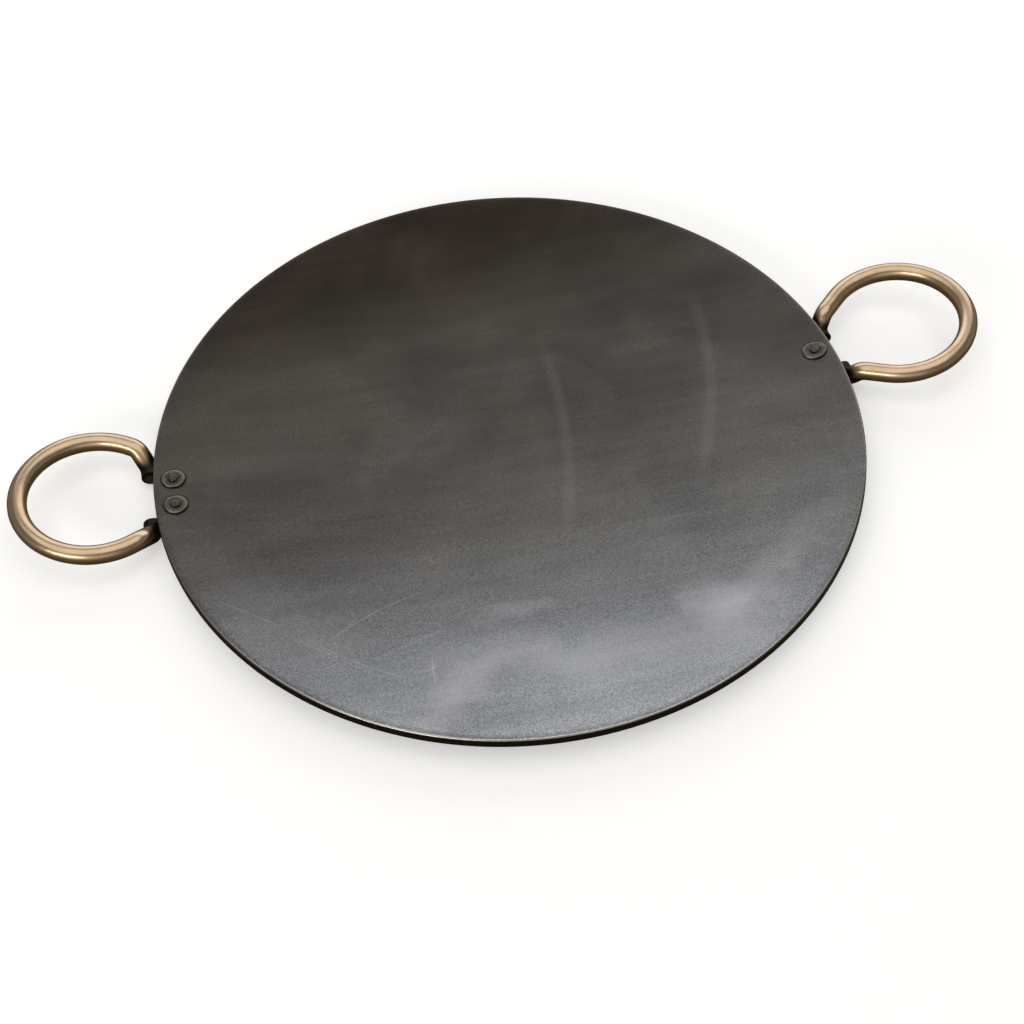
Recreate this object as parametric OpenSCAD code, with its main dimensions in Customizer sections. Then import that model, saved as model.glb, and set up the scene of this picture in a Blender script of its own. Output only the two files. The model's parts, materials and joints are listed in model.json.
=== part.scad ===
// Round griddle pan: a dished steel disc with two swinging ring handles.
// Millimetres, +Z up. The origin is the centre of the flat that the pan rests on,
// the left handle points along -X and the dish is open upwards.

/* [Pan] */
// Radius of the pan at its widest, over the rim
pan_r = 175; // [150:1:220]
// How far the cooking face drops from the rim to the centre
dish_depth = 12; // [10:0.5:20]
// Thickness of the steel sheet
sheet_t = 5; // [3:0.1:6]
// Radius that breaks both corners of the cut rim
rim_round = 0.9; // [0.3:0.1:1.1]
// Radius of the flat dressed on the underside, which the pan rests on
rest_r = 45; // [30:1:60]

/* [Ring handles] */
// Radius of the round rod that a ring is bent from
rod_r = 4.6; // [4:0.1:5]
// Radius of a ring, to the middle of its rod
ring_r = 35.5; // [33:0.5:40]
// How far past the rim the centre of the left ring lies
left_reach = 28.4; // [26:0.2:32]
// How far past the rim the centre of the right ring lies
right_reach = 37.8; // [34:0.2:42]
// Bearing of the right handle, anticlockwise from +X
right_bearing = 8; // [-20:1:20]
// Height of a ring's plane above the underside of the rim
ring_level = 1; // [0.5:0.1:1.2]
// Radius of the bend that drops each end of the rod at the rim
drop_bend_r = 7; // [6:0.5:8]
// Radius of the bend that turns each end in, to make a hinge pin
pin_bend_r = 6; // [5.5:0.5:6.5]

/* [Hinges] */
// Radius of the pins turned on the ends of the rod
pin_r = 3; // [2.5:0.1:3.2]
// Radial running clearance of a pin in its eye
pin_gap = 0.05; // [0.02:0.01:0.1]
// Outer radius of the eye round a pin
eye_r = 4.5; // [4.2:0.1:4.8]
// Distance of the hinge axis outside the rim
hinge_out = 1.5; // [1.5:0.1:2.5]
// Distance of the hinge axis below the underside of the rim
hinge_drop = 5.5; // [5.5:0.1:6]
// Thickness of a bracket's eyes
eye_t = 3; // [2:0.1:3]
// Thickness of a bracket's leaf, under the pan
leaf_t = 2.2; // [1.5:0.1:2.4]

/* [Rivets] */
// Distance of the rivets in from the rim
rivet_inset = 9.6; // [8:0.1:12]
// Distance between the two rivets of the left bracket
rivet_pitch = 16.4; // [13:0.1:17]
// Sideways offset of the left pair of rivets from the left ring's centre line
left_rivet_shift = 4.5; // [-4.5:0.1:4.5]
// Sideways offset of the right rivet from the right ring's centre line
right_rivet_shift = -2.6; // [-6:0.1:6]
// Radius of a rivet's shank
shank_r = 2; // [1.5:0.1:2.2]
// Radius of the domed head under the leaf
head_r = 3.6; // [3:0.1:3.6]
// Radius of the burr, the washer that the rivet is peened over
burr_r = 5.7; // [4.5:0.1:6]
// Thickness of the burr
burr_t = 1.1; // [0.8:0.1:1.5]

/* [Hidden] */

steel = "#4a4846";
bracket_steel = "#3b3a39";
rivet_steel = "#56524f";
bronze = "#a98a5f";

left_bearing = 180;
rivet_bearing_r = pan_r - rivet_inset;  // distance of the rivets from the pan's axis
seat_gap = 0.02;        // rivets and brackets lie this far off the curved sheet
hole_gap = 0.05;        // radial gap of a rivet in its hole
side_play = 0.4;        // gap between a ring's shoulder and the bracket's eye
pin_stub = 1.2;         // length of pin showing inside the eye
pin_overlap = 2;        // length of pin buried in the rod
joint_swell = 0.05;     // how much fuller the rod is where two runs of it join
joint_gap = 0.05;       // how far a straight run stops short of a joint's middle
leg_run = 4.8;          // straight rod between the arc and the drop, at least
leaf_back = 8;          // how far the leaf runs in from the rivets
leaf_front_gap = 0.9;   // how far the leaf stops short of the rim
eye_web_start = 4.4;    // where an eye's web leaves the leaf, outward of the rivets
head_h = 1.9;           // height of a rivet's domed head
peen_r = 2.3;           // radius of the peened tip over the burr
peen_h = 0.7;           // height of the peened tip
burr_chamfer = 0.35;    // bevel round the top of the burr

// The dish is part of a sphere. Both faces share its centre, so the sheet is even.
inner_r = (pow(pan_r, 2) + pow(dish_depth, 2)) / (2 * dish_depth);
outer_r = inner_r + sheet_t;
centre_z = sqrt(pow(outer_r, 2) - pow(rest_r, 2));
edge_angle = asin(pan_r / outer_r);
rivet_angle = asin(rivet_bearing_r / outer_r);

// Handle frame: X outwards along the underside, Z up from it, origin at the rivets
edge_x = outer_r * sin(edge_angle - rivet_angle);
hinge_x = edge_x + hinge_out;
drop_x = hinge_x + 5.6;

left_open = 118.5;      // half angle of the left ring's arc
left_pin_y = 20.5;      // where the left rod's ends turn in
right_open = 125;
right_pin_y = 17.6;

function unit(v) = v / norm(v);
function turn(a, b) = acos(unit(a) * unit(b));
function bend_length(a, b, bend_r) = bend_r * tan(turn(a, b) / 2);
function axes(p, x, y, z) =
    [[x.x, y.x, z.x, p.x], [x.y, y.y, z.y, p.y], [x.z, y.z, z.z, p.z], [0, 0, 0, 1]];
function arc(centre, r, from, to, steps) =
    [for (i = [0 : steps]) let (a = from + (to - from) * i / steps)
        centre + r * [sin(a), -cos(a)]];

// Where the left leg or the right leg of a ring goes, in the handle frame
function arc_end(centre_x, open) = [centre_x + ring_r * cos(open), ring_r * sin(open), ring_level];
function arc_way(open) = [-sin(open), cos(open), 0];
function drop_point(centre_x, open) =
    let (s = arc_end(centre_x, open), d = arc_way(open)) s + d * max(leg_run, (drop_x - s.x) / d.x);
function pin_point(pin_y) = [hinge_x, pin_y, -hinge_drop];
function shoulder_y(centre_x, open, pin_y) =
    let (way = pin_point(pin_y) - drop_point(centre_x, open))
        pin_y - bend_length(way, [0, -1, 0], pin_bend_r);

left_centre_x = edge_x + left_reach;
right_centre_x = edge_x + right_reach;
left_shoulder_y = shoulder_y(left_centre_x, left_open, left_pin_y);
right_shoulder_y = shoulder_y(right_centre_x, right_open, right_pin_y);
left_half_w = left_shoulder_y - side_play;
right_half_w = right_shoulder_y - side_play;

// Rivets of the left bracket, as sideways distances from the ring's centre line
left_front_y = left_rivet_shift + rivet_pitch / 2;
left_back_y = left_rivet_shift - rivet_pitch / 2;

// Puts its children in the handle frame at a bearing, shift millimetres round the rim
module on_rim(bearing, shift = 0) {
    rotate([0, 0, bearing + atan(shift / rivet_bearing_r)])
        translate([rivet_bearing_r, 0, centre_z - outer_r * cos(rivet_angle)])
            rotate([0, -rivet_angle, 0])
                children();
}

module rivet_hole(bearing, shift) {
    on_rim(bearing, shift)
        translate([0, 0, -3 * leaf_t])
            cylinder(h = 3 * leaf_t + 2 * sheet_t, r = shank_r + hole_gap, $fn = 48);
}

// Half section of the dished sheet: rest flat, underside, rounded cut rim, cooking face
module sheet_section() {
    centre = [0, centre_z];
    low_corner_r = outer_r - rim_round;
    top_corner_r = inner_r + rim_round;
    low_corner_a = edge_angle - asin(rim_round / low_corner_r);
    top_corner_a = edge_angle - asin(rim_round / top_corner_r);
    polygon(concat(
        [[0, 0]],
        arc(centre, outer_r, asin(rest_r / outer_r), low_corner_a, 40),
        arc(centre + low_corner_r * [sin(low_corner_a), -cos(low_corner_a)], rim_round,
            low_corner_a + 10, edge_angle + 90, 8),
        arc(centre + top_corner_r * [sin(top_corner_a), -cos(top_corner_a)], rim_round,
            edge_angle + 90, top_corner_a + 180, 8),
        arc(centre, inner_r, top_corner_a - 0.2, 0.4, 48),
        [[0, centre_z - inner_r]]
    ));
}

module pan() {
    color(steel)
        difference() {
            rotate_extrude($fn = 240) sheet_section();
            rivet_hole(left_bearing, left_front_y);
            rivet_hole(left_bearing, left_back_y);
            rivet_hole(right_bearing, right_rivet_shift);
        }
}

// Leaf with a square front and rounded back corners, flat under the sheet
module bracket_leaf(half_w) {
    corner_r = 4;
    front = edge_x - leaf_front_gap;
    translate([0, 0, -seat_gap - leaf_t])
        linear_extrude(leaf_t)
            union() {
                translate([-leaf_back + corner_r, -half_w])
                    square([leaf_back - corner_r + front, 2 * half_w]);
                translate([-leaf_back, -half_w + corner_r])
                    square([2 * corner_r, 2 * (half_w - corner_r)]);
                for (side = [-1, 1])
                    translate([-leaf_back + corner_r, side * (half_w - corner_r)])
                        circle(r = corner_r, $fn = 48);
            }
}

// Web bent down from the leaf's edge, ending in the eye for the hinge pin
module bracket_eye() {
    leaf_low = -seat_gap - leaf_t;
    rotate([90, 0, 0])
        linear_extrude(eye_t)
            difference() {
                union() {
                    translate([hinge_x, -hinge_drop]) circle(r = eye_r, $fn = 96);
                    polygon([[eye_web_start, leaf_low + leaf_t / 2],
                             [edge_x - leaf_front_gap, leaf_low + leaf_t / 2],
                             [hinge_x, -hinge_drop + eye_r],
                             [hinge_x, -hinge_drop - eye_r],
                             [eye_web_start, leaf_low - leaf_t]]);
                }
                translate([hinge_x, -hinge_drop]) circle(r = pin_r + pin_gap, $fn = 96);
            }
}

module bracket(bearing, half_w, rivet_shifts) {
    difference() {
        on_rim(bearing)
            union() {
                bracket_leaf(half_w);
                translate([0, half_w, 0]) bracket_eye();
                translate([0, -half_w + eye_t, 0]) bracket_eye();
            }
        for (shift = rivet_shifts) rivet_hole(bearing, shift);
    }
}

module left_bracket() {
    color(bracket_steel) bracket(left_bearing, left_half_w, [left_front_y, left_back_y]);
}

module right_bracket() {
    color(bracket_steel) bracket(right_bearing, right_half_w, [right_rivet_shift]);
}

// Puts its children at p with their Z axis along a direction
module along(p, way) {
    side = unit(cross(way, [0.3, 0, 1]));
    multmatrix(axes(p, side, cross(way, side), way)) children();
}

// Straight run of rod or pin from p to q
module straight(p, q, r) {
    along(p, unit(q - p)) cylinder(h = norm(q - p), r = r, $fn = 64);
}

// Joint between two runs of the rod, a hair fuller than the rod itself. It is turned so
// that the sphere's poles lie askew of both runs.
module rod_joint(p, way) {
    along(p, way) rotate([45, 0, 30]) sphere(r = rod_r + joint_swell, $fn = 96);
}

// Round bend of the rod at a corner, from the way in to the way out
module bend(corner, way_in, way_out, bend_r) {
    spin = unit(cross(way_in, way_out));
    inward = cross(spin, way_in);
    centre = corner - way_in * bend_length(way_in, way_out, bend_r) + inward * bend_r;
    multmatrix(axes(centre, -inward, way_in, spin))
        rotate_extrude(angle = turn(way_in, way_out), $fn = 180)
            translate([bend_r, 0]) circle(r = rod_r, $fn = 64);
}

// One end of the rod: on from the arc, down past the rim, then in as a hinge pin
module leg(centre_x, open, pin_y, half_w) {
    start = arc_end(centre_x, open);
    way = arc_way(open);
    drop = drop_point(centre_x, open);
    down = unit(pin_point(pin_y) - drop);
    inwards = [0, -1, 0];
    drop_cut = bend_length(way, down, drop_bend_r);
    pin_cut = bend_length(down, inwards, pin_bend_r);
    drop_in = drop - way * drop_cut;
    drop_out = drop + down * drop_cut;
    pin_in = pin_point(pin_y) - down * pin_cut;
    pin_root = pin_point(pin_y) + inwards * (pin_cut - pin_overlap);
    rod_joint(start, way);
    rod_joint(drop_in, way);
    rod_joint(drop_out, down);
    rod_joint(pin_in, down);
    straight(start + way * joint_gap, drop_in - way * joint_gap, rod_r);
    bend(drop, way, down, drop_bend_r);
    straight(drop_out + down * joint_gap, pin_in - down * joint_gap, rod_r);
    bend(pin_point(pin_y), down, inwards, pin_bend_r);
    straight(pin_root, [hinge_x, half_w - eye_t - pin_stub, -hinge_drop], pin_r);
}

module ring(bearing, centre_x, open, pin_y, half_w) {
    on_rim(bearing)
        union() {
            translate([centre_x, 0, ring_level])
                rotate([0, 0, -open])
                    rotate_extrude(angle = 2 * open, $fn = 180)
                        translate([ring_r, 0]) circle(r = rod_r, $fn = 64);
            leg(centre_x, open, pin_y, half_w);
            mirror([0, 1, 0]) leg(centre_x, open, pin_y, half_w);
        }
}

module left_ring() {
    color(bronze) ring(left_bearing, left_centre_x, left_open, left_pin_y, left_half_w);
}

module right_ring() {
    color(bronze) ring(right_bearing, right_centre_x, right_open, right_pin_y, right_half_w);
}

// How far a rivet's head has to stay below the leaf, because the sheet that the rivet is
// square to curves up off the flat leaf away from the leaf's middle
function head_gap(shift) = (pow(shift, 2) / 2 + head_r * abs(shift)) / outer_r + 2 * seat_gap;

// Rivet: domed head under the leaf, shank through leaf and sheet, peened over the burr
module rivet(bearing, shift) {
    head_low = -leaf_t - head_gap(shift);
    dome_r = (pow(head_r, 2) + pow(head_h, 2)) / (2 * head_h);
    burr_top = sheet_t + seat_gap + burr_t;
    color(rivet_steel)
        on_rim(bearing, shift)
            union() {
                translate([0, 0, head_low])
                    intersection() {
                        translate([0, 0, dome_r - head_h]) sphere(r = dome_r, $fn = 96);
                        translate([0, 0, -2 * head_h]) cylinder(h = 2 * head_h, r = head_r, $fn = 96);
                    }
                translate([0, 0, head_low]) cylinder(h = burr_top - head_low, r = shank_r, $fn = 48);
                translate([0, 0, burr_top])
                    cylinder(h = peen_h / 2, r = peen_r, $fn = 48);
                translate([0, 0, burr_top + peen_h / 2])
                    cylinder(h = peen_h / 2, r1 = peen_r, r2 = peen_r - peen_h, $fn = 48);
            }
}

module burr(bearing, shift) {
    color(rivet_steel)
        on_rim(bearing, shift)
            translate([0, 0, sheet_t + seat_gap])
                difference() {
                    union() {
                        cylinder(h = burr_t - burr_chamfer, r = burr_r, $fn = 96);
                        translate([0, 0, burr_t - burr_chamfer])
                            cylinder(h = burr_chamfer, r1 = burr_r, r2 = burr_r - burr_chamfer, $fn = 96);
                    }
                    translate([0, 0, -1]) cylinder(h = burr_t + 2, r = shank_r + hole_gap, $fn = 48);
                }
}

module left_rivet_front() { rivet(left_bearing, left_front_y); }
module left_rivet_back() { rivet(left_bearing, left_back_y); }
module right_rivet() { rivet(right_bearing, right_rivet_shift); }
module left_burr_front() { burr(left_bearing, left_front_y); }
module left_burr_back() { burr(left_bearing, left_back_y); }
module right_burr() { burr(right_bearing, right_rivet_shift); }

pan();
left_bracket();
right_bracket();
left_ring();
right_ring();
left_rivet_front();
left_rivet_back();
right_rivet();
left_burr_front();
left_burr_back();
right_burr();
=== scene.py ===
import json
import math

import bmesh
import bpy
from mathutils import Matrix, Vector, noise


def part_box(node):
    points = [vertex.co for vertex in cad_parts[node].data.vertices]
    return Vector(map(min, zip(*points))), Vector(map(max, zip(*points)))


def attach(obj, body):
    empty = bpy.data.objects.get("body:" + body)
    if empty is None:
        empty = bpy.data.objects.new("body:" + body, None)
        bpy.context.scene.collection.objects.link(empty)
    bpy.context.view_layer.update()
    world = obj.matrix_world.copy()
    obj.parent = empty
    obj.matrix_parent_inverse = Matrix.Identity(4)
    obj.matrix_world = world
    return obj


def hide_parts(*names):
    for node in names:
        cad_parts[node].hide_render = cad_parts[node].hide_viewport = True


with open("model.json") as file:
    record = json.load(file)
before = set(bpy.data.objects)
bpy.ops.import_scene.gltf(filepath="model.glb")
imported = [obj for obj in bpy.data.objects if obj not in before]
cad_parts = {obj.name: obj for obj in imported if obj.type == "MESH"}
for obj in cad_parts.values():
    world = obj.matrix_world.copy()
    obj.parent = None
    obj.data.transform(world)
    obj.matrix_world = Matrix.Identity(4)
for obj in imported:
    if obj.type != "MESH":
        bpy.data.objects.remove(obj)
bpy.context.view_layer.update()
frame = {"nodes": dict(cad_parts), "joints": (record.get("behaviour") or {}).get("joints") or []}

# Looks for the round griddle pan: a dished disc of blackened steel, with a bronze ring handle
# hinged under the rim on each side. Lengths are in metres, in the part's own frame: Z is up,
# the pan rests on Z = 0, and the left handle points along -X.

MM = 0.001

# The sheet and the rod, as the part is built
DISH_DEPTH = 12 * MM
SHEET_T = 5 * MM
RIM_ROUND = 0.9 * MM
REST_R = 45 * MM
PAN_R = 175 * MM
ROD_R = 4.6 * MM
RING_R = 35.5 * MM
RING_LEVEL = 1 * MM
DROP_BEND_R = 7 * MM
PIN_BEND_R = 6 * MM
PIN_R = 3 * MM
HINGE_OUT = 1.5 * MM
HINGE_DROP = 5.5 * MM
DROP_OUT = 5.6 * MM
LEG_RUN = 4.8 * MM
EYE_T = 3 * MM
SIDE_PLAY = 0.4 * MM
PIN_STUB = 1.2 * MM

# The rivets and the burrs, the washers under their peened tips
RIVET_BEARING_R = 165.4 * MM
LEAF_T = 2.2 * MM
SHANK_R = 2 * MM
HEAD_R, HEAD_H = 3.6 * MM, 1.9 * MM
PEEN_R, PEEN_H = 2.3 * MM, 0.7 * MM
BURR_R, BURR_T = 5.7 * MM, 1.1 * MM

# Each handle: joint, body, CAD node, reach past the rim, half opening of its arc in degrees,
# how far off the middle its ends turn in, and the seed of its rod's unevenness
HANDLES = {
    "left": ("left_ring_hinge", "left_handle", "left_ring", 28.4 * MM, 118.5, 20.5 * MM, 4),
    "right": ("right_ring_hinge", "right_handle", "right_ring", 37.8 * MM, 125.0, 17.6 * MM, 5),
}
RIVETS = ("left_rivet_front", "left_rivet_back", "right_rivet")
BURRS = ("left_burr_front", "left_burr_back", "right_burr")

# How far hammering has spread each burr, along the rim and across it
BURR_OVAL = {"left_burr_front": (0.97, 1.0), "left_burr_back": (0.96, 1.02),
             "right_burr": (0.95, 1.15)}

# Both faces of the dish are parts of spheres with one centre
INNER_R = (PAN_R ** 2 + DISH_DEPTH ** 2) / (2 * DISH_DEPTH)
OUTER_R = INNER_R + SHEET_T
CENTRE_Z = math.sqrt(OUTER_R ** 2 - REST_R ** 2)
EDGE_ANGLE = math.asin(PAN_R / OUTER_R)
RIVET_ANGLE = math.asin(RIVET_BEARING_R / OUTER_R)
EDGE_X = OUTER_R * math.sin(EDGE_ANGLE - RIVET_ANGLE)
HINGE_X = EDGE_X + HINGE_OUT
UP = Vector((0, 0, 1))


def smooth(value, low, high):
    """0 below low and 1 above high, with a soft turn at both."""
    t = min(1.0, max(0.0, (value - low) / (high - low)))
    return t * t * (3 - 2 * t)


# ---------------------------------------------------------------- mesh helpers

def link_mesh(name, mesh_builder):
    """A new smooth-shaded object from a bmesh that mesh_builder has finished."""
    bmesh.ops.recalc_face_normals(mesh_builder, faces=mesh_builder.faces)
    mesh = bpy.data.meshes.new(name)
    mesh_builder.to_mesh(mesh)
    mesh_builder.free()
    mesh.polygons.foreach_set("use_smooth", [True] * len(mesh.polygons))
    piece = bpy.data.objects.new(name, mesh)
    bpy.context.scene.collection.objects.link(piece)
    return piece


def crease(build, ring):
    """Keeps the edge along a closed ring of vertices sharp in smooth shading."""
    for a, b in zip(ring, ring[1:] + ring[:1]):
        build.edges.get((a, b)).smooth = False


def lathe(name, profile, segments, shift=None, place=Matrix.Identity(4), sharp=None):
    """Turns a profile of (radius, height) about Z. Its first and last points lie on the axis,
    and its edge stays sharp at point number sharp.
    shift(point) says how far to move each point, before place puts the piece where it goes."""
    build = bmesh.new()

    def vertex(radius, height, turn):
        point = Vector((radius * math.cos(turn), radius * math.sin(turn), height))
        if shift:
            point += shift(point)
        return build.verts.new(place @ point)

    first = vertex(0, profile[0][1], 0)
    rows = [
        [vertex(r, z, math.tau * i / segments) for i in range(segments)]
        for r, z in profile[1:-1]
    ]
    last = vertex(0, profile[-1][1], 0)
    for i in range(segments):
        j = (i + 1) % segments
        build.faces.new((first, rows[0][j], rows[0][i]))
        build.faces.new((last, rows[-1][i], rows[-1][j]))
        for row, above in zip(rows, rows[1:]):
            build.faces.new((row[i], row[j], above[j], above[i]))
    if sharp:
        crease(build, rows[sharp - 1])
    return link_mesh(name, build)


def arc_points(centre, radius, start, end, steps):
    """Points (r, z) of an arc. Angles run from straight down, outwards, in radians."""
    return [
        (
            centre[0] + radius * math.sin(start + (end - start) * i / steps),
            centre[1] - radius * math.cos(start + (end - start) * i / steps),
        )
        for i in range(steps + 1)
    ]


# ---------------------------------------------------------------- the pan

WAVE_HEIGHT = 0.16 * MM      # how far the sheet wanders from its true dish
WAVE_LENGTH = 75 * MM
WAVE_FADE = 22 * MM          # the unevenness dies out this far from the rim and the flat
TRUE_RIM = 2 * MM            # and is gone this far from the rim
WAVE_START = Vector((3.1, 7.7, 0))   # where in the noise the waves are taken from
RIPPLE_SHARE, RIPPLE_SCALE = 0.35, 2.3   # smaller waves: their share and how much shorter
PAN_SEGMENTS = 288
FLAT_STEPS, UNDER_STEPS, RIM_STEPS, FACE_STEPS = 8, 52, 8, 72


def unevenness(point):
    """Gentle waves left by rolling and beating the sheet, the same on both of its faces."""
    r = math.hypot(point.x, point.y)
    underside = point.z < CENTRE_Z - math.sqrt((INNER_R + SHEET_T / 2) ** 2 - r * r)
    keep = 1 - smooth(r, PAN_R - WAVE_FADE, PAN_R - TRUE_RIM)
    if underside:
        keep *= smooth(r, REST_R, REST_R + WAVE_FADE)
    place = Vector((point.x, point.y, 0)) / WAVE_LENGTH
    ripple = RIPPLE_SHARE * noise.noise(place * RIPPLE_SCALE)
    return UP * (WAVE_HEIGHT * (noise.noise(place + WAVE_START) + ripple) * keep)


def pan_profile():
    """Half section: rest flat, underside, rounded cut rim, cooking face."""
    centre = (0.0, CENTRE_Z)
    low_r, top_r = OUTER_R - RIM_ROUND, INNER_R + RIM_ROUND
    low_a = EDGE_ANGLE - math.asin(RIM_ROUND / low_r)
    top_a = EDGE_ANGLE - math.asin(RIM_ROUND / top_r)
    low_centre = (low_r * math.sin(low_a), CENTRE_Z - low_r * math.cos(low_a))
    top_centre = (top_r * math.sin(top_a), CENTRE_Z - top_r * math.cos(top_a))
    side = EDGE_ANGLE + math.pi / 2
    flat = [(REST_R * i / FLAT_STEPS, 0.0) for i in range(FLAT_STEPS)]
    under = arc_points(centre, OUTER_R, math.asin(REST_R / OUTER_R), low_a, UNDER_STEPS)
    low = arc_points(low_centre, RIM_ROUND, low_a, side, RIM_STEPS)[1:]
    top = arc_points(top_centre, RIM_ROUND, side, top_a + math.pi, RIM_STEPS)
    face = arc_points(centre, INNER_R, top_a, 0.0, FACE_STEPS)[1:]
    return flat + under + low + top + face


def make_pan():
    pan = lathe("pan_dish", pan_profile(), PAN_SEGMENTS, unevenness)
    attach(pan, "pan")
    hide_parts("pan")
    return pan


# ---------------------------------------------------------------- rings

ARC_STEPS = 220
BEND_STEP = 0.35 * MM        # spacing of points in the rod's bends
ROD_STEP = 0.9 * MM          # and nowhere wider than this
ROD_SIDES = 40
ROD_WAVER, ROD_WAVER_SIZE = 0.008, 9 * MM   # how a hand-worked rod's radius varies
PIN_LEVEL = 0.01 * MM        # within this of the hinge's height, the rod is its pin


def joint_named(name):
    return next(j for j in frame["joints"] if j["name"] == name)


def handle_frame(joint):
    """Where a handle's own frame lies: X outwards along the underside, Z up from it, and the
    origin under the rim at the rivets' distance. The hinge's place and axis fix it."""
    across = Vector(joint["axis"]).normalized()
    level_out = across.cross(UP)
    out = level_out * math.cos(RIVET_ANGLE) + UP * math.sin(RIVET_ANGLE)
    above = out.cross(across)
    origin = Vector(joint["pos_m"]) - out * HINGE_X + above * HINGE_DROP
    return Matrix.Translation(origin) @ Matrix((out, across, above)).transposed().to_4x4()


def rounded(corners, bends, step):
    """Points along a broken line whose inner corners are rounded to the given radii."""
    points = [corners[0]]
    for i in range(1, len(corners) - 1):
        back = (corners[i - 1] - corners[i]).normalized()
        ahead = (corners[i + 1] - corners[i]).normalized()
        turn = math.pi - back.angle(ahead)
        cut = bends[i - 1] * math.tan(turn / 2)
        start = corners[i] + back * cut
        centre = corners[i] + (back + ahead).normalized() * math.hypot(cut, bends[i - 1])
        spin = (-back).cross(ahead).normalized()
        steps = max(4, round(turn * bends[i - 1] / step))
        for k in range(steps + 1):
            points.append(centre + Matrix.Rotation(turn * k / steps, 3, spin) @ (start - centre))
    points.append(corners[-1])
    return points


def spaced(points, step):
    """The same line with points no further apart than step."""
    line = [points[0]]
    for a, b in zip(points, points[1:]):
        count = max(1, math.ceil((b - a).length / step))
        line += [a.lerp(b, k / count) for k in range(1, count + 1)]
    return line


def ring_route(reach, open_deg, pin_y):
    """Centre line of a ring's rod in the handle frame, from pin to pin, and the height of the
    shoulder where the rod steps down to its pin, as a distance from the middle."""
    open_angle = math.radians(open_deg)
    centre = Vector((EDGE_X + reach, 0, RING_LEVEL))
    end = centre + RING_R * Vector((math.cos(open_angle), math.sin(open_angle), 0))
    way = Vector((-math.sin(open_angle), math.cos(open_angle), 0))
    drop = end + way * max(LEG_RUN, (HINGE_X + DROP_OUT - end.x) / way.x)
    pin = Vector((HINGE_X, pin_y, -HINGE_DROP))
    turn = math.acos((pin - drop).normalized().dot(Vector((0, -1, 0))))
    shoulder = pin_y - PIN_BEND_R * math.tan(turn / 2)
    tip = Vector((HINGE_X, shoulder - SIDE_PLAY - EYE_T - PIN_STUB, -HINGE_DROP))
    leg = rounded([tip, pin, drop, end], [PIN_BEND_R, DROP_BEND_R], BEND_STEP)
    arc = [
        centre + RING_R * Vector((math.cos(a), math.sin(a), 0))
        for a in (open_angle - 2 * open_angle * i / ARC_STEPS for i in range(ARC_STEPS + 1))
    ]
    far_leg = [Vector((p.x, -p.y, p.z)) for p in reversed(leg)]
    return spaced(leg[:-1] + arc + far_leg[1:], ROD_STEP), shoulder


def rod_radius(point, shoulder, seed):
    """The rod's radius at a point of its route: hand-worked, and stepped down at the pins."""
    on_pin = point.z < -HINGE_DROP + PIN_LEVEL and abs(point.y) < shoulder
    if on_pin:
        return PIN_R
    waver = noise.noise(point / ROD_WAVER_SIZE + Vector((seed, 0, 0)))
    return ROD_R * (1 + ROD_WAVER * waver)


def sweep(name, route, radius_at, sides, place):
    """A round rod along a route, closed flat at both ends, where a ring of no width keeps the
    end face apart. Its UV map holds the length along the rod and the angle round it."""
    build = bmesh.new()
    uv = build.loops.layers.uv.new("UVMap")
    tangent = (route[1] - route[0]).normalized()
    side = tangent.orthogonal().normalized()
    rows, lengths, length = [], [], 0.0
    for i, point in enumerate(route):
        ahead = route[min(i + 1, len(route) - 1)] - route[max(i - 1, 0)]
        turned = tangent.rotation_difference(ahead.normalized())
        side = (turned @ side).normalized()
        tangent = ahead.normalized()
        other = tangent.cross(side)
        length += (point - route[i - 1]).length if i else 0.0
        radius = radius_at(point)
        rows.append([
            build.verts.new(place @ (point + radius * (
                side * math.cos(math.tau * k / sides) + other * math.sin(math.tau * k / sides))))
            for k in range(sides)
        ])
        lengths.append(length)
    for n, (row, after) in enumerate(zip(rows, rows[1:])):
        for k in range(sides):
            m = (k + 1) % sides
            face = build.faces.new((row[k], row[m], after[m], after[k]))
            corners = ((n, k), (n, k + 1), (n + 1, k + 1), (n + 1, k))
            for loop, (along, around) in zip(face.loops, corners):
                loop[uv].uv = (lengths[along], around / sides)
    for row, flip in ((rows[0], True), (rows[-1], False)):
        cap = build.faces.new(row[::-1] if flip else row)
        bmesh.ops.inset_individual(build, faces=[cap])
    return link_mesh(name, build)


def make_ring(side):
    joint, body, node, reach, open_deg, pin_y, seed = HANDLES[side]
    route, shoulder = ring_route(reach, open_deg, pin_y)
    ring = sweep(
        side + "_ring_rod", route, lambda p: rod_radius(p, shoulder, seed), ROD_SIDES,
        handle_frame(joint_named(joint)),
    )
    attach(ring, body)
    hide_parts(node)
    return ring


# ---------------------------------------------------------------- rivets and burrs

BURR_SEAT = 0.02 * MM        # gap under a burr
BURR_TUCK = 0.15 * MM        # how far its underside stops short of its edge
BURR_EDGE_R = 0.7 * MM
BURR_FALL = 0.1 * MM         # how much lower its top is at the edge than in the middle
BURR_BEATEN = (0.26 * MM, 4 * MM)    # depth and size of its hammering
BURR_SEGMENTS = 96
HEAD_GAP = 0.1 * MM          # gap between a rivet's head and the leaf
PEEN_GAP = 0.05 * MM         # gap between its peened tip and the burr
PEEN_EDGE_R = 0.3 * MM
PEEN_FALL = 0.05 * MM        # how much lower the peened tip is at its edge
RIVET_BEATEN = (0.14 * MM, 2.6 * MM)
RIVET_SEGMENTS = 64
HAMMER_SEED = 1


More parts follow.
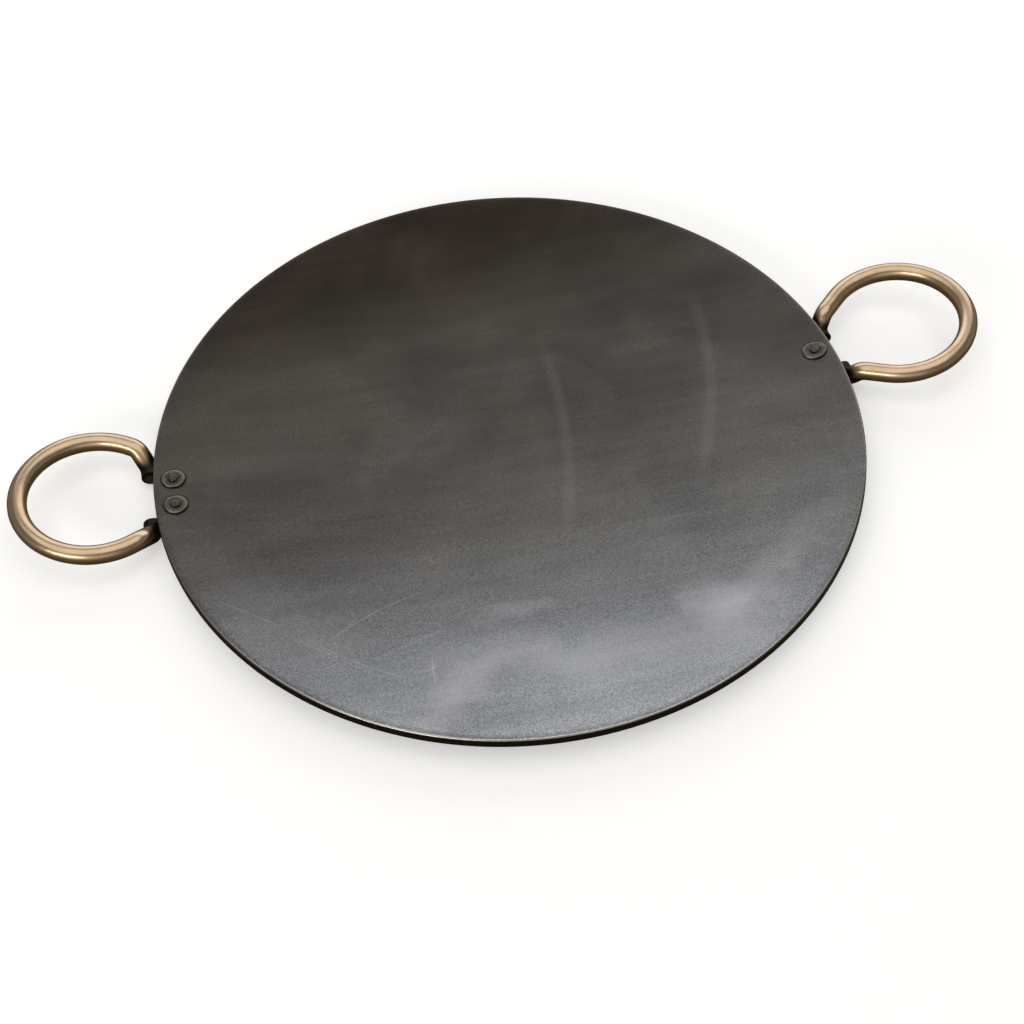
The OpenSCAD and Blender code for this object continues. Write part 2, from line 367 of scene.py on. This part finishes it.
def square_to_sheet(node):
    """A frame on the cooking face under the middle of a rivet or burr, square to the sheet."""
    low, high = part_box(node)
    middle = (low + high) / 2
    centre = Vector((0, 0, CENTRE_Z))
    normal = (centre - middle).normalized()
    foot = centre - normal * INNER_R
    side = UP.cross(normal).normalized()
    turn = Matrix((side, normal.cross(side), normal)).transposed().to_4x4()
    return Matrix.Translation(foot) @ turn


def hammered(amount, size, seed):
    """A shift that leaves a piece looking hammered by hand."""
    def shift(point):
        away = Vector((point.x, point.y, 0))
        bump = noise.noise_vector(point / size + Vector((seed, seed / 2, 0)))
        return Vector((bump.x, bump.y, bump.z * 0.6)) * amount * min(1.0, away.length / size)
    return shift


def make_burr(node, seed):
    """The washer under a rivet's peened tip: domed by hammering, with a soft outer edge."""
    edge = (BURR_R - BURR_EDGE_R, BURR_T - BURR_EDGE_R - BURR_FALL)
    profile = [(r, BURR_SEAT) for r in (0, BURR_R * 0.5, BURR_R - BURR_TUCK)]
    profile += arc_points(edge, BURR_EDGE_R, math.pi / 2, math.pi, 8)
    profile += [(BURR_R * k, BURR_T - BURR_FALL * k * k) for k in (0.85, 0.75, 0.65, 0.55)]
    profile += [(BURR_R * k, BURR_T) for k in (0.45, 0.3, 0.15, 0)]
    oval = Matrix.Diagonal((*BURR_OVAL[node], 1, 1))
    burr = lathe(node + "_washer", profile, BURR_SEGMENTS, hammered(*BURR_BEATEN, seed),
                 square_to_sheet(node) @ oval)
    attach(burr, "pan")
    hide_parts(node)
    return burr


def make_rivet(node, seed):
    """A rivet: domed head under the leaf, shank, and a tip peened flat over the burr."""
    leaf_low = -SHEET_T - LEAF_T - HEAD_GAP
    dome_r = (HEAD_R ** 2 + HEAD_H ** 2) / (2 * HEAD_H)
    dome = arc_points((0, leaf_low - HEAD_H + dome_r), dome_r, 0, math.asin(HEAD_R / dome_r), 14)
    low = BURR_T + PEEN_GAP
    top = low + PEEN_H
    edge = (PEEN_R - PEEN_EDGE_R, top - PEEN_EDGE_R - PEEN_FALL)
    profile = dome + [(SHANK_R, leaf_low), (SHANK_R, low), (PEEN_R * 0.97, low)]
    profile += arc_points(edge, PEEN_EDGE_R, math.pi / 2, math.pi, 6)
    profile += [(PEEN_R * 0.6, top - PEEN_FALL * 0.4), (PEEN_R * 0.3, top), (0, top)]
    rivet = lathe(node + "_peened", profile, RIVET_SEGMENTS, hammered(*RIVET_BEATEN, seed),
                  square_to_sheet(node.replace("rivet", "burr")), sharp=len(dome) - 1)
    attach(rivet, "pan")
    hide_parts(node)
    return rivet


# ---------------------------------------------------------------- material helpers

class Graph:
    """A material's nodes, with short calls for the ones used here."""

    def __init__(self, name):
        self.material = bpy.data.materials.new(name)
        self.material.use_nodes = True
        self.tree = self.material.node_tree
        self.tree.nodes.clear()
        self.shader = self.node("ShaderNodeBsdfPrincipled")
        output = self.node("ShaderNodeOutputMaterial")
        self.tree.links.new(self.shader.outputs[0], output.inputs["Surface"])
        self.place = self.node("ShaderNodeTexCoord").outputs["Object"]
        self.x, self.y, self.z = self.split(self.place)

    def node(self, kind, **settings):
        made = self.tree.nodes.new(kind)
        for key, value in settings.items():
            setattr(made, key, value)
        return made

    def put(self, socket, value):
        if isinstance(value, bpy.types.NodeSocket):
            self.tree.links.new(value, socket)
        elif hasattr(socket.default_value, "__len__") and not isinstance(value, (int, float)):
            socket.default_value = (*value, 1)[:len(socket.default_value)]
        else:
            socket.default_value = value

    def set(self, **values):
        for key, value in values.items():
            self.put(self.shader.inputs[key.replace("_", " ")], value)

    def split(self, vector):
        node = self.node("ShaderNodeSeparateXYZ")
        self.put(node.inputs[0], vector)
        return node.outputs[0], node.outputs[1], node.outputs[2]

    def math(self, operation, *values):
        node = self.node("ShaderNodeMath", operation=operation)
        for socket, value in zip(node.inputs, values):
            self.put(socket, value)
        return node.outputs[0]

    def length(self, x, y):
        """The length of the vector (x, y)."""
        return self.math("SQRT", self.math("ADD", self.math("MULTIPLY", x, x),
                                           self.math("MULTIPLY", y, y)))

    def between(self, value, low, high, to_low=0.0, to_high=1.0):
        """Maps value from low..high to to_low..to_high with soft ends."""
        node = self.node("ShaderNodeMapRange", interpolation_type="SMOOTHSTEP")
        for socket, number in zip(node.inputs, (value, low, high, to_low, to_high)):
            self.put(socket, number)
        return node.outputs[0]

    def noise(self, size, detail=2.0, rough=0.5, vector=None, warp=0.0):
        """Noise from 0 to 1 whose lumps are about size metres across."""
        node = self.node("ShaderNodeTexNoise")
        self.put(node.inputs["Vector"], vector or self.place)
        for key, number in (("Scale", 1 / size), ("Detail", detail), ("Roughness", rough),
                            ("Distortion", warp)):
            self.put(node.inputs[key], number)
        return node.outputs["Fac"]

    def mix(self, share, first, second):
        """A colour between two, by share."""
        node = self.node("ShaderNodeMix", data_type="RGBA")
        self.put(node.inputs["Factor"], share)
        self.put(node.inputs[6], first)
        self.put(node.inputs[7], second)
        return node.outputs[2]

    def ramp(self, value, low, high, stops):
        """A colour by value, from evenly interpolated stops of (value, colour)."""
        node = self.node("ShaderNodeValToRGB")
        share = self.node("ShaderNodeMapRange")
        for socket, number in zip(share.inputs, (value, low, high)):
            self.put(socket, number)
        marks = node.color_ramp.elements
        for place, colour in sorted(stops):
            position = (place - low) / (high - low)
            marks.new(position).color = (*colour, 1)
        marks.remove(marks[0])
        marks.remove(marks[-1])
        self.put(node.inputs[0], share.outputs[0])
        return node.outputs[0]

    def lit(self, colour, factor):
        """A colour times a number."""
        node = self.node("ShaderNodeVectorMath", operation="SCALE")
        self.put(node.inputs[0], colour)
        self.put(node.inputs["Scale"], factor)
        return node.outputs[0]

    def scaled(self, vector, scale):
        node = self.node("ShaderNodeVectorMath", operation="MULTIPLY")
        self.put(node.inputs[0], vector)
        node.inputs[1].default_value = scale
        return node.outputs[0]

    def bump(self, *layers):
        """Bumps of (height socket, strength, distance), one on top of the other."""
        normal = None
        for height, strength, distance in layers:
            node = self.node("ShaderNodeBump")
            self.put(node.inputs["Strength"], strength)
            self.put(node.inputs["Distance"], distance)
            self.put(node.inputs["Height"], height)
            if normal:
                self.put(node.inputs["Normal"], normal)
            normal = node.outputs[0]
        self.put(self.shader.inputs["Normal"], normal)


PATCH_FADE = 1.6             # a patch has faded out at this many times its half size


def arc_mark(g, centre, radius, width, start_deg, end_deg):
    """Mask of a mark along an arc on the dish: centre and radius in metres, angles round the
    centre in degrees, anticlockwise from +X, fading towards both ends."""
    dx, dy = g.math("SUBTRACT", g.x, centre[0]), g.math("SUBTRACT", g.y, centre[1])
    away = g.length(dx, dy)
    off = g.math("ABSOLUTE", g.math("SUBTRACT", away, radius))
    middle = math.radians((start_deg + end_deg) / 2)
    half = math.radians(abs(end_deg - start_deg) / 2)
    along = g.math("ADD", g.math("MULTIPLY", dx, math.cos(middle)),
                   g.math("MULTIPLY", dy, math.sin(middle)))
    facing = g.math("DIVIDE", along, away)
    ends = g.between(facing, math.cos(half), math.cos(half * 0.45))
    return g.math("MULTIPLY", g.between(off, width, width * 0.15), ends)


def scratch_mark(g, middle, angle_deg, length, width):
    """Mask of a straight scratch on the dish, fading towards both ends."""
    dx, dy = g.math("SUBTRACT", g.x, middle[0]), g.math("SUBTRACT", g.y, middle[1])
    c, s = math.cos(math.radians(angle_deg)), math.sin(math.radians(angle_deg))
    along = g.math("ABSOLUTE", g.math("ADD", g.math("MULTIPLY", dx, c),
                                      g.math("MULTIPLY", dy, s)))
    off = g.math("ABSOLUTE", g.math("SUBTRACT", g.math("MULTIPLY", dy, c),
                                    g.math("MULTIPLY", dx, s)))
    return g.math("MULTIPLY", g.between(off, width, width * 0.2),
                  g.between(along, length / 2, length * 0.2))


def patch_mark(g, x, y, middle, half_size, angle_deg):
    """Mask of a soft oval patch on the dish. Its middle and half_size, which is its half length
    and half width, are in millimetres."""
    dx, dy = g.math("SUBTRACT", x, middle[0] * MM), g.math("SUBTRACT", y, middle[1] * MM)
    c, s = math.cos(math.radians(angle_deg)), math.sin(math.radians(angle_deg))
    along = g.math("DIVIDE", g.math("ADD", g.math("MULTIPLY", dx, c),
                                    g.math("MULTIPLY", dy, s)), half_size[0] * MM)
    off = g.math("DIVIDE", g.math("SUBTRACT", g.math("MULTIPLY", dy, c),
                                  g.math("MULTIPLY", dx, s)), half_size[1] * MM)
    return g.between(g.length(along, off), PATCH_FADE, 0.0)


def from_burrs(g):
    """How far a point is from the middle of the nearest burr, seen from above."""
    nearest = None
    for node in BURRS:
        low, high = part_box(node)
        dx = g.math("SUBTRACT", g.x, (low.x + high.x) / 2)
        dy = g.math("SUBTRACT", g.y, (low.y + high.y) / 2)
        away = g.length(dx, dy)
        nearest = g.math("MINIMUM", nearest, away) if nearest else away
    return nearest


def summed(g, masks):
    total = masks[0]
    for mask in masks[1:]:
        total = g.math("ADD", total, mask)
    return total


# ---------------------------------------------------------------- materials

# Painted sheen: soft bright patches that stand for reflections on the front of the dish, in mm on
# the dish: middle, half size, angle, how much
PAINTED_SHEEN_PATCHES = (
    ((-16, -107), (16, 6), 8, 0.30),
    ((-16, -129), (40, 10), -3, 0.42),
    ((38, -139), (42, 13), -12, 0.50),
    ((77, -126), (20, 18), 20, 0.85),
    ((104, -103), (38, 9), 40, 0.35),
    ((-48, -147), (24, 10), 35, 0.80),
    ((-128, -85), (36, 16), -50, 0.12),
)

# The top face's colour from the back of the dish to the front, by place in metres: dark oxide at
# the back, lightened to bluish grey towards the front by painted sheen
OXIDE_AND_PAINTED_SHEEN = (
    (0.165, (0.078, 0.061, 0.046)),
    (0.125, (0.085, 0.070, 0.057)),
    (0.085, (0.128, 0.112, 0.098)),
    (0.0, (0.146, 0.132, 0.120)),
    (-0.045, (0.170, 0.161, 0.154)),
    (-0.085, (0.235, 0.232, 0.230)),
    (-0.120, (0.310, 0.317, 0.333)),
    (-0.150, (0.420, 0.430, 0.455)),
    (-0.175, (0.500, 0.510, 0.540)),
)
OXIDE_AND_SHEEN_SLANT = 0.2           # how far its bands lean across the dish, behind the front
WIPE_SCALE = (1 / 0.09, 1 / 0.011, 1)    # wiping streaks 90 mm long and 11 mm wide
DRAWN_SCALE = (45, 9, 1)     # drawing lines: lumps to a metre of rod, and to a turn round it

# The underside's colour, where it is sootiest and where it is barest
UNDERSIDE = ((0.075, 0.068, 0.062), (0.150, 0.138, 0.126))

# Colour of the painted sheen patches
PAINTED_SHEEN_STEEL = (0.55, 0.55, 0.57)
SMEARED_STEEL = (0.50, 0.48, 0.46)
SCRATCHED_STEEL = (0.66, 0.66, 0.66)
NICKED_STEEL = (0.70, 0.70, 0.70)
RIM_STEEL = (0.56, 0.52, 0.45)       # bare on the rim's upper corner
CUT_STEEL = (0.050, 0.040, 0.030)    # scaled on the rim's cut side
# Painted shade: a dark ring on the dish round each burr, and on each burr round its peened tip
PAINTED_BURR_SHADE = (0.025, 0.020, 0.017)
PAINTED_PEEN_SHADE = (0.030, 0.024, 0.020)
RIVET_STEEL = ((0.085, 0.073, 0.063), (0.140, 0.123, 0.108))
RIVET_WORN = (0.46, 0.39, 0.31)
BRACKET_STEEL = ((0.024, 0.020, 0.017), (0.060, 0.054, 0.049))
BRONZE = ((0.74, 0.551, 0.378), (0.64, 0.464, 0.285))
BRONZE_DRAWN = (0.46, 0.34, 0.19)
# Painted shade on the rods near and under the rim
BRONZE_PAINTED_SHADE = (0.030, 0.022, 0.015)

# Marks along an arc: middle and radius in metres, half width, and where it starts and ends
SMEARS = (
    ((-0.316, 0.035), 0.347, 4.5 * MM, -18, 6),
    ((-0.129, 0.070), 0.243, 5 * MM, -30, 4),
)
CURVED_SCRATCHES = (
    ((0.020, 0.040), 0.192, 0.7 * MM, 226, 246),
    ((-0.020, -0.220), 0.142, 0.6 * MM, 102, 126),
)
# Straight marks: middle in metres, angle in degrees, length, half width
SCRATCHES = (
    ((-0.093, -0.098), 42, 0.020, 0.5 * MM),
    ((-0.064, -0.111), 19, 0.048, 0.8 * MM),
    ((-0.135, -0.082), -35, 0.040, 0.5 * MM),
    ((-0.100, -0.112), -38, 0.060, 0.5 * MM),
)
NICK = (
    ((-0.057, -0.129), 88, 0.016, 0.9 * MM),
    ((-0.058, -0.127), 20, 0.007, 0.7 * MM),
)


def pan_steel():
    """Blackened sheet steel: brown-black satin oxide at the back, lightened to grey at the front by
    painted sheen, with painted sheen patches, cloudy tone, wiping streaks, fine grain, scratches, a
    bare rim and painted shade round the burrs."""
    g = Graph("pan_steel")
    clouds = g.noise(70 * MM, 3, 0.55, warp=0.6)
    blotches = g.noise(16 * MM, 5, 0.6)
    wipes = g.noise(1.0, 3, 0.6, vector=g.scaled(g.place, WIPE_SCALE), warp=0.5)
    grain = g.noise(0.9 * MM, 2, 0.7)
    speck = g.noise(3 * MM, 3, 0.6)
    radial = g.length(g.x, g.y)
    facing_up = g.split(g.node("ShaderNodeTexCoord").outputs["Normal"])[2]
    rim = g.between(radial, PAN_R - 1.6 * MM, PAN_R - 1.0 * MM)
    bare = g.math("MULTIPLY", rim, g.between(facing_up, 0.45, 0.75))
    cut = g.math("MULTIPLY", rim, g.between(facing_up, 0.60, 0.30))
    # Painted shade on the dish round each burr, where the burr meets it
    crease_shade = g.between(g.math("ADD", from_burrs(g), g.between(grain, 0.3, 0.7, -0.2 * MM, 0.2 * MM)),
                      BURR_R + 1.3 * MM, BURR_R + 0.2 * MM)
    x = g.math("ADD", g.x, g.between(blotches, 0.2, 0.8, -7 * MM, 7 * MM))
    y = g.math("ADD", g.y, g.between(clouds, 0.2, 0.8, -10 * MM, 10 * MM))
    # Painted sheen: soft bright patches on the top face
    painted_sheen = summed(g, [
        g.math("MULTIPLY", patch_mark(g, x, y, middle, half, angle), share)
        for middle, half, angle, share in PAINTED_SHEEN_PATCHES
    ])
    smears = summed(g, [arc_mark(g, *mark) for mark in SMEARS])
    scratches = summed(g, [arc_mark(g, *mark) for mark in CURVED_SCRATCHES]
                       + [scratch_mark(g, *mark) for mark in SCRATCHES])
    nick = summed(g, [scratch_mark(g, *mark) for mark in NICK])
    slant = g.between(y, -120 * MM, 0.0, 0.0, OXIDE_AND_SHEEN_SLANT)
    front = g.math("SUBTRACT", y, g.math("MULTIPLY", g.x, slant))
    top = g.between(facing_up, -0.3, 0.3)
    sooty = g.mix(clouds, *UNDERSIDE)
    # The top face: dark oxide at the back, and painted sheen that lightens it towards the front
    tone = g.mix(top, sooty, g.ramp(front, -PAN_R, PAN_R, OXIDE_AND_PAINTED_SHEEN))
    coarse = g.between(g.y, 20 * MM, -120 * MM, 0.12, 0.24)
    spread = g.math("MULTIPLY", g.between(grain, 0.3, 0.7, -1.0, 1.0), coarse)
    tone = g.lit(tone, g.math("ADD", spread, 1.0))
    for layer, low, high in ((wipes, 0.93, 1.07), (clouds, 0.90, 1.08)):
        tone = g.lit(tone, g.between(layer, 0.3, 0.7, low, high))
    for mark, share, colour in (
        (painted_sheen, 1.0, PAINTED_SHEEN_STEEL), (smears, 0.05, SMEARED_STEEL),
        (scratches, 0.18, SCRATCHED_STEEL), (nick, 0.30, NICKED_STEEL),
    ):
        tone = g.mix(g.math("MULTIPLY", g.math("MULTIPLY", mark, share), top), tone, colour)
    tone = g.mix(g.math("MULTIPLY", crease_shade, 0.7), tone, PAINTED_BURR_SHADE)
    bare = g.math("MULTIPLY", bare, g.between(blotches, 0.3, 0.7, 0.35, 0.75))
    tone = g.mix(bare, tone, RIM_STEEL)
    tone = g.mix(g.math("MULTIPLY", cut, 0.9), tone, CUT_STEEL)
    rough = g.math("ADD", g.between(clouds, 0.3, 0.7, 0.20, 0.25),
                   g.math("MULTIPLY", grain, 0.05))
    rough = g.math("ADD", rough, g.math("MULTIPLY", smears, 0.03))
    g.set(Base_Color=tone, Metallic=1.0, Roughness=rough)
    g.bump((wipes, 0.35, 0.08 * MM), (speck, 0.15, 0.03 * MM), (grain, 0.13, 0.03 * MM))
    return g.material


def bracket_steel():
    """Dull blackened strip steel, scuffed."""
    g = Graph("bracket_steel")
    scale = g.noise(5 * MM, 5, 0.65)
    grain = g.noise(0.4 * MM, 2, 0.7)
    tone = g.mix(scale, *BRACKET_STEEL)
    g.set(Base_Color=tone, Metallic=1.0, Roughness=g.between(scale, 0.3, 0.7, 0.42, 0.58))
    g.bump((scale, 0.35, 0.2 * MM), (grain, 0.3, 0.03 * MM))
    return g.material


def rivet_steel():
    """Blackened steel, hammered, with painted shade round the peened tip, and worn bright on its
    high spots.
    """
    g = Graph("rivet_steel")
    scale = g.noise(2.2 * MM, 4, 0.6)
    grain = g.noise(0.35 * MM, 2, 0.7)
    away = g.math("ADD", from_burrs(g), g.between(scale, 0.3, 0.7, -0.5 * MM, 0.5 * MM))
    # Painted shade on the burr round the edge of the peened tip
    crease_shade = g.math("MULTIPLY", g.between(away, 2.0 * MM, 2.5 * MM),
                   g.between(away, 3.4 * MM, 2.7 * MM))
    worn = g.between(away, BURR_R - 1.9 * MM, BURR_R - 0.4 * MM)
    tone = g.mix(scale, *RIVET_STEEL)
    tone = g.mix(g.math("MULTIPLY", worn, 0.24), tone, RIVET_WORN)
    tone = g.mix(g.math("MULTIPLY", crease_shade, 0.75), tone, PAINTED_PEEN_SHADE)
    g.set(Base_Color=tone, Metallic=1.0, Roughness=g.between(scale, 0.3, 0.7, 0.26, 0.36))
    g.bump((scale, 0.5, 0.3 * MM), (grain, 0.2, 0.02 * MM))
    return g.material


def bronze():
    """Antique bronze rod, polished by hands, with painted shade on its low side near the rim and
    where its ends turn in under the rim.
    """
    g = Graph("bronze")
    uv = g.node("ShaderNodeUVMap", uv_map="UVMap").outputs[0]
    drawn = g.noise(1.0, 3, 0.6, vector=g.scaled(uv, DRAWN_SCALE))
    patina = g.noise(14 * MM, 3, 0.55, warp=0.4)
    grain = g.noise(0.5 * MM, 2, 0.6)
    radial = g.length(g.x, g.y)
    # Painted shade: dark on the rod's low side near the rim, and close to the rim where its ends
    # turn in under it
    painted_low_shade = g.math("MULTIPLY", g.between(radial, PAN_R + 16 * MM, PAN_R + 7 * MM),
                      g.between(g.z, 15 * MM, 10 * MM))
    painted_shade = g.math("MAXIMUM", painted_low_shade, g.between(radial, PAN_R + 6 * MM, PAN_R + 2 * MM))
    tone = g.mix(g.between(patina, 0.35, 0.75), *BRONZE)
    tone = g.mix(g.between(drawn, 0.45, 0.85, 0.0, 0.18), tone, BRONZE_DRAWN)
    tone = g.mix(painted_shade, tone, BRONZE_PAINTED_SHADE)
    rough = g.math("ADD", g.between(patina, 0.3, 0.7, 0.25, 0.29),
                   g.math("MULTIPLY", drawn, 0.04))
    rough = g.math("ADD", rough, g.math("MULTIPLY", painted_shade, 0.25))
    g.set(Base_Color=tone, Metallic=1.0, Roughness=rough)
    g.bump((patina, 0.10, 0.08 * MM), (grain, 0.04, 0.01 * MM))
    return g.material


def dress(objects, material):
    for piece in objects:
        piece.data.materials.clear()
        piece.data.materials.append(material)


# ---------------------------------------------------------------- studio

LENS, SENSOR = 52.73, 36.0
CAMERA_AIM = Vector((-7.4, -51.3, 16.0)) * MM
CAMERA_DISTANCE = 0.7082
CAMERA_AZIMUTH, CAMERA_ELEVATION, CAMERA_ROLL = -8.18, 51.93, -3.01
FLOOR_HALF = 4.0
FLOOR_GLOW = 0.45
FLOOR_GAP = 0.05 * MM        # keeps the floor off the flat that the pan rests on

# Each softbox: name, azimuth, elevation, distance, size, radiance, colour
SOFTBOXES = (
    ("back_wall", 165, 27, 2.4, (3.4, 1.8), 1.15, (0.97, 0.99, 1.0)),
    ("overhead", 172, 90, 2.0, (3.0, 2.2), 0.95, (1.0, 0.98, 0.94)),
    ("lamp", -40, 26, 2.4, (1.5, 0.5), 5.0, (1.0, 0.97, 0.86)),
    ("front_fill", -15, 24, 2.7, (3.4, 1.6), 0.35, (1.0, 0.98, 0.94)),
)

# The world's colour by height, from straight down at 0 through the horizon at 0.5
WORLD_STOPS = (
    (0.0, (0.05, 0.042, 0.020)),
    (0.46, (0.13, 0.115, 0.065)),
    (0.54, (0.26, 0.255, 0.25)),
    (0.72, (0.16, 0.155, 0.15)),
    (0.90, (0.11, 0.105, 0.10)),
    (1.0, (0.10, 0.095, 0.09)),
)


def direction(azimuth, elevation):
    """Unit vector from the object towards a viewpoint. Azimuth 0 is in front, along -Y."""
    a, e = math.radians(azimuth), math.radians(elevation)
    return Vector((math.sin(a) * math.cos(e), -math.cos(a) * math.cos(e), math.sin(e)))


def make_camera():
    data = bpy.data.cameras.new("camera")
    data.lens, data.sensor_width = LENS, SENSOR
    data.clip_start, data.clip_end = 0.01, 50.0
    camera = bpy.data.objects.new("camera", data)
    bpy.context.scene.collection.objects.link(camera)
    back = direction(CAMERA_AZIMUTH, CAMERA_ELEVATION)
    right = UP.cross(back).normalized()
    turn = Matrix((right, back.cross(right), back)).transposed()
    roll = Matrix.Rotation(math.radians(CAMERA_ROLL), 3, "Z")
    camera.matrix_world = (
        Matrix.Translation(CAMERA_AIM + back * CAMERA_DISTANCE) @ (turn @ roll).to_4x4()
    )
    bpy.context.scene.camera = camera


def softbox(name, azimuth, elevation, distance, size, radiance, colour):
    """An area light that faces the pan's middle from a direction, as bright as radiance."""
    data = bpy.data.lights.new(name, "AREA")
    data.shape = "RECTANGLE"
    data.size, data.size_y = size
    data.energy = radiance * math.pi * size[0] * size[1]
    data.color = colour
    light = bpy.data.objects.new(name, data)
    bpy.context.scene.collection.objects.link(light)
    back = direction(azimuth, elevation)
    light.location = back * distance
    light.rotation_mode = "QUATERNION"
    light.rotation_quaternion = back.to_track_quat("Z", "Y")
    light.visible_camera = False


def make_world():
    """A dim studio: greyish walls, a darker ceiling, and a brown gloom below."""
    world = bpy.data.worlds.new("studio")
    bpy.context.scene.world = world
    world.use_nodes = True
    nodes, links = world.node_tree.nodes, world.node_tree.links
    split = nodes.new("ShaderNodeSeparateXYZ")
    links.new(nodes.new("ShaderNodeTexCoord").outputs["Generated"], split.inputs[0])
    height = nodes.new("ShaderNodeMapRange")
    height.inputs["From Min"].default_value = -1.0
    links.new(split.outputs[2], height.inputs["Value"])
    ramp = nodes.new("ShaderNodeValToRGB")
    stops = ramp.color_ramp.elements
    stops[0].position, stops[0].color = WORLD_STOPS[0][0], (*WORLD_STOPS[0][1], 1)
    stops[1].position, stops[1].color = WORLD_STOPS[-1][0], (*WORLD_STOPS[-1][1], 1)
    for position, colour in WORLD_STOPS[1:-1]:
        stops.new(position).color = (*colour, 1)
    links.new(height.outputs["Result"], ramp.inputs[0])
    links.new(ramp.outputs[0], nodes["Background"].inputs["Color"])


def make_floor():
    """A pale lit table. Reflections don't see it, so that it doesn't glare in the metal."""
    build = bmesh.new()
    corners = [build.verts.new((x * FLOOR_HALF, y * FLOOR_HALF, -FLOOR_GAP))
               for x, y in ((-1, -1), (1, -1), (1, 1), (-1, 1))]
    build.faces.new(corners)
    floor = link_mesh("floor", build)
    g = Graph("floor_paint")
    g.set(Base_Color=(0.85, 0.85, 0.85), Roughness=0.9, Specular_IOR_Level=0.1,
          Emission_Color=(1, 1, 1), Emission_Strength=FLOOR_GLOW)
    dress([floor], g.material)
    floor.visible_glossy = False


# ---------------------------------------------------------------- the scene

make_camera()
make_world()
make_floor()
for box in SOFTBOXES:
    softbox(*box)

pan = make_pan()
rings = [make_ring(side) for side in HANDLES]
# Without this, noise_vector starts from the clock and hammers them differently on each run
noise.seed_set(HAMMER_SEED)
burrs = [make_burr(node, 3 + 5 * i) for i, node in enumerate(BURRS)]
rivets = [make_rivet(node, 2 + 7 * i) for i, node in enumerate(RIVETS)]

dress([pan], pan_steel())
dress(rings, bronze())
dress(burrs + rivets, rivet_steel())
dress([frame["nodes"]["left_bracket"], frame["nodes"]["right_bracket"]], bracket_steel())

bpy.context.scene.view_settings.view_transform = "Standard"
